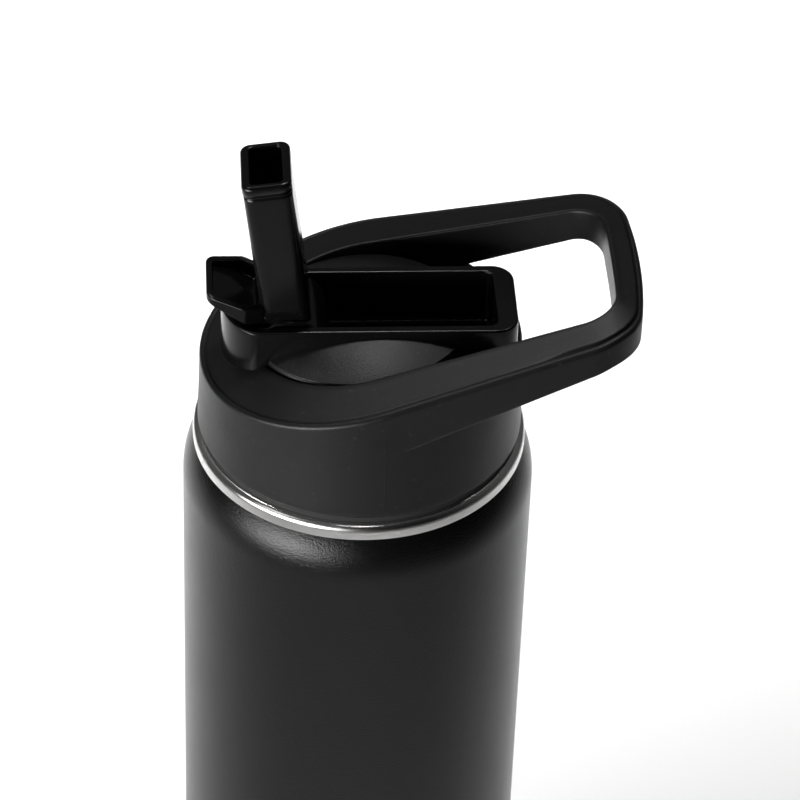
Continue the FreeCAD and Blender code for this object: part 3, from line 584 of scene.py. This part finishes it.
# Handling marks: soft smudges and scattered dust, each out as a mask from 0 to 1.
def makeWearGroup():
    sizes = {"Smudge size": 60.0, "Dust size": 900.0}
    group, given, result = nodeGroup("handlingWear", sizes, ["Smudge", "Dust"])
    place = group.nodes.new("ShaderNodeTexCoord").outputs["Object"]
    smudge = group.nodes.new("ShaderNodeTexNoise")
    dust = group.nodes.new("ShaderNodeTexNoise")
    for texture, size, output, low, high in ((smudge, "Smudge size", "Smudge", 0.42, 0.68),
                                             (dust, "Dust size", "Dust", 0.66, 0.74)):
        link(group, place, texture.inputs["Vector"])
        link(group, given.outputs[size], texture.inputs["Scale"])
        texture.inputs["Detail"].default_value = 4
        ramp = group.nodes.new("ShaderNodeMapRange")
        ramp.inputs["From Min"].default_value = low
        ramp.inputs["From Max"].default_value = high
        link(group, texture.outputs["Fac"], ramp.inputs["Value"])
        link(group, ramp.outputs["Result"], result.inputs[output])
    return group


grainGroup, wearGroup = makeGrainGroup(), makeWearGroup()


# A moulded, coated or metal finish: colour with a trace of dust, roughness with smudges, grain as bump.
def makeFinish(name, colour, rough, roughSpread=0.06, grainSize=1500, grainDepth=0.0, metal=0.0, dust=0.25,
               smudgeSize=60, specular=0.5):
    material = bpy.data.materials.new(name)
    material.use_nodes = True
    tree = material.node_tree
    shader = tree.nodes["Principled BSDF"]
    shader.inputs["Metallic"].default_value = metal
    shader.inputs["Specular IOR Level"].default_value = specular
    wear = tree.nodes.new("ShaderNodeGroup")
    wear.node_tree = wearGroup
    wear.inputs["Smudge size"].default_value = smudgeSize
    tint = tree.nodes.new("ShaderNodeMix")
    tint.data_type = "RGBA"
    tint.inputs["A"].default_value = (*colour, 1)
    tint.inputs["B"].default_value = (*[min(c + 0.05 * dust + c * 0.4, 1) for c in colour], 1)
    link(tree, wear.outputs["Dust"], tint.inputs["Factor"])
    link(tree, tint.outputs["Result"], shader.inputs["Base Color"])
    spread = mathNode(tree, "MULTIPLY_ADD", wear.outputs["Smudge"], roughSpread)
    spread.node.inputs[2].default_value = rough
    link(tree, spread, shader.inputs["Roughness"])
    if grainDepth:
        grain = tree.nodes.new("ShaderNodeGroup")
        grain.node_tree = grainGroup
        grain.inputs["Size"].default_value = grainSize
        bump = tree.nodes.new("ShaderNodeBump")
        bump.inputs["Strength"].default_value = 1.0
        bump.inputs["Distance"].default_value = grainDepth * mm
        link(tree, grain.outputs["Height"], bump.inputs["Height"])
        link(tree, bump.outputs["Normal"], shader.inputs["Normal"])
    return material


black, satinBlack, glossBlack = (0.004, 0.004, 0.0042), (0.006, 0.006, 0.0063), (0.004, 0.004, 0.0043)
# each finish: colour, roughness, how much smudges add to it, grain size, grain depth in mm
finishes = {
    "powderCoat": makeFinish("powderCoat", black, 0.25, 0.02, 2200, 0.06, dust=0.1, specular=0.36),
    "bareSteel": makeFinish("bareSteel", (0.82, 0.81, 0.80), 0.2, 0.08, 2600, 0.0015, metal=1.0, dust=0.0),
    "hiddenSteel": makeFinish("hiddenSteel", (0.5, 0.5, 0.5), 0.36, 0.1, 900, 0.01, metal=1.0, dust=0.0),
    "grainedPlastic": makeFinish("grainedPlastic", satinBlack, 0.4, 0.06, 2600, 0.035, dust=0.3,
                                 specular=0.4),
    "satinPlastic": makeFinish("satinPlastic", satinBlack, 0.34, 0.06, 3200, 0.008, dust=0.2,
                               specular=0.36),
    "glossPlastic": makeFinish("glossPlastic", glossBlack, 0.17, 0.08, 700, 0.004, dust=0.1,
                               specular=0.36),
    "blackRubber": makeFinish("blackRubber", (0.02, 0.02, 0.02), 0.7, 0.1, 1200, 0.05),
    "clearSilicone": makeFinish("clearSilicone", (0.62, 0.62, 0.6), 0.42, 0.1, 800, 0.02, dust=0.0),
    "strawPlastic": makeFinish("strawPlastic", (0.55, 0.57, 0.58), 0.3, 0.1, 500, 0.01, dust=0.0),
    "paleFoam": makeFinish("paleFoam", (0.7, 0.68, 0.62), 0.85, 0.05, 900, 0.2, dust=0.0),
    "darkPellet": makeFinish("darkPellet", (0.12, 0.12, 0.125), 0.6, 0.1, 2000, 0.05),
}
pieceFinish = {
    "bodyShell": "powderCoat", "steelLiner": "bareSteel", "carryLoop": "grainedPlastic",
    "lidSkirt": "grainedPlastic", "topDome": "grainedPlastic", "troughBlock": "glossPlastic",
    "spoutTube": "glossPlastic", "spoutHub": "glossPlastic", "thumbTab": "glossPlastic",
    "tabWeb": "glossPlastic", "outer_base": "hiddenSteel", "vacuum_seal": "hiddenSteel",
    "getter": "darkPellet", "base_pad": "blackRubber", "lid_gasket": "blackRubber",
    "lid_core": "satinPlastic", "plug_cap": "satinPlastic", "plug_foam": "paleFoam",
    "straw_socket": "clearSilicone", "straw": "strawPlastic", "vent_valve": "clearSilicone",
    "insert_seal": "clearSilicone", "spout_seal": "clearSilicone",
}
print("finishing the surfaces")
for pieceName, finishName in pieceFinish.items():
    mesh = bpy.data.objects[pieceName].data
    mesh.materials.clear()
    mesh.materials.append(finishes[finishName])


studio = dict(floorSize=6.0, floorColour=0.93, floorDrop=0.0002, skyFront=0.006, skyBack=0.072,
              frontFrom=-0.75, backTo=0.55)
# each lamp: name, place and target in metres, size, power in watts, and how wide its beam opens in degrees
lamps = (
    ("floorWash", (-0.75, 0.7, 1.9), (-0.42, 0.5, 0), (0.5, 0.5), 2.42, 40),
    ("floorWash", (0.7, 0.75, 1.9), (0.32, 0.58, 0), (0.5, 0.5), 1.628, 40),
    ("frontWash", (0, -0.75, 1.4), (0, -0.22, 0), (0.3, 0.3), 0.115, 17),
    ("backWash", (0, 0.9, 1.9), (0, 0.42, 0), (0.3, 0.3), 0.55, 23.8),
    ("lowSoftbox", (-0.44, -0.43, 0.27), (0, 0, 0.27), (0.75, 0.26), 1.2, 70),
    ("leftSoftbox", (-0.75, -0.42, 0.95), (0, 0, 0.25), (0.35, 0.5), 0.5, 180),
    ("topSoftbox", (0, 0.5, 1.6), (0, 0, 0.28), (0.3, 0.3), 0.5, 60),
)
cameraSetup = dict(lens=175.03, azimuth=4.3, elevation=39.656, roll=2.123, distance=802.4,
                   aim=(8.31, -0.62, bandZ + 8.3))


# Pale floor just under the base, and a sky whose strength rises smoothly from the front to the back.
def buildStudio():
    edge = np.linspace(-1, 1, 41) * studio["floorSize"] / 2
    x, y = np.meshgrid(edge, edge, indexing="ij")
    points = np.stack([x, y, 0 * x - studio["floorDrop"]], axis=-1).reshape(-1, 3)
    mesh = bpy.data.meshes.new("studioFloor")
    mesh.from_pydata(points, [], quads(41, 41, False, False)[:, ::-1].tolist())
    floor = bpy.data.objects.new("studioFloor", mesh)
    bpy.context.scene.collection.objects.link(floor)
    material = bpy.data.materials.new("paleFloor")
    material.use_nodes = True
    shader = material.node_tree.nodes["Principled BSDF"]
    shader.inputs["Base Color"].default_value = (*[studio["floorColour"]] * 3, 1)
    shader.inputs["Roughness"].default_value = 0.8
    shader.inputs["Specular IOR Level"].default_value = 0.1
    mesh.materials.append(material)

    world = bpy.data.worlds.new("softStudio")
    world.use_nodes = True
    bpy.context.scene.world = world
    tree = world.node_tree
    direction = tree.nodes.new("ShaderNodeTexCoord")
    split = tree.nodes.new("ShaderNodeSeparateXYZ")
    link(tree, direction.outputs["Generated"], split.inputs["Vector"])
    ramp = tree.nodes.new("ShaderNodeMapRange")
    ramp.interpolation_type = "SMOOTHSTEP"
    ramp.inputs["From Min"].default_value = studio["frontFrom"]
    ramp.inputs["From Max"].default_value = studio["backTo"]
    ramp.inputs["To Min"].default_value = studio["skyFront"]
    ramp.inputs["To Max"].default_value = studio["skyBack"]
    link(tree, split.outputs["Y"], ramp.inputs["Value"])
    tree.nodes["Background"].inputs["Color"].default_value = (1, 1, 1, 1)
    link(tree, ramp.outputs["Result"], tree.nodes["Background"].inputs["Strength"])


# Oblong of soft light at a place, facing its target.
def addSoftLight(name, place, target, size, power, spread):
    light = bpy.data.lights.new(name, "AREA")
    light.shape = "RECTANGLE"
    light.size, light.size_y = size
    light.energy = power
    light.spread = math.radians(spread)
    lamp = bpy.data.objects.new(name, light)
    bpy.context.scene.collection.objects.link(lamp)
    towards = Vector(target) - Vector(place)
    lamp.matrix_world = Matrix.Translation(place) @ towards.to_track_quat("-Z", "Y").to_matrix().to_4x4()


# Camera at a distance from its aim, turned by azimuth and elevation and then rolled.
def placeCamera():
    c = cameraSetup
    lens = bpy.data.cameras.new("viewCamera")
    lens.lens = c["lens"]
    lens.sensor_width = 36
    camera = bpy.data.objects.new("viewCamera", lens)
    bpy.context.scene.collection.objects.link(camera)
    turn = (Matrix.Rotation(math.radians(-c["azimuth"]), 4, "Z")
            @ Matrix.Rotation(math.radians(90 - c["elevation"]), 4, "X"))
    place = Vector(c["aim"]) * mm + turn.to_3x3() @ Vector((0, 0, c["distance"] * mm))
    roll = Matrix.Rotation(math.radians(c["roll"]), 4, "Z")
    camera.matrix_world = Matrix.Translation(place) @ turn @ roll
    bpy.context.scene.camera = camera


print("setting up the studio")
buildStudio()
for lamp in lamps:
    addSoftLight(*lamp)
placeCamera()
bpy.context.scene.view_settings.view_transform = "Standard"
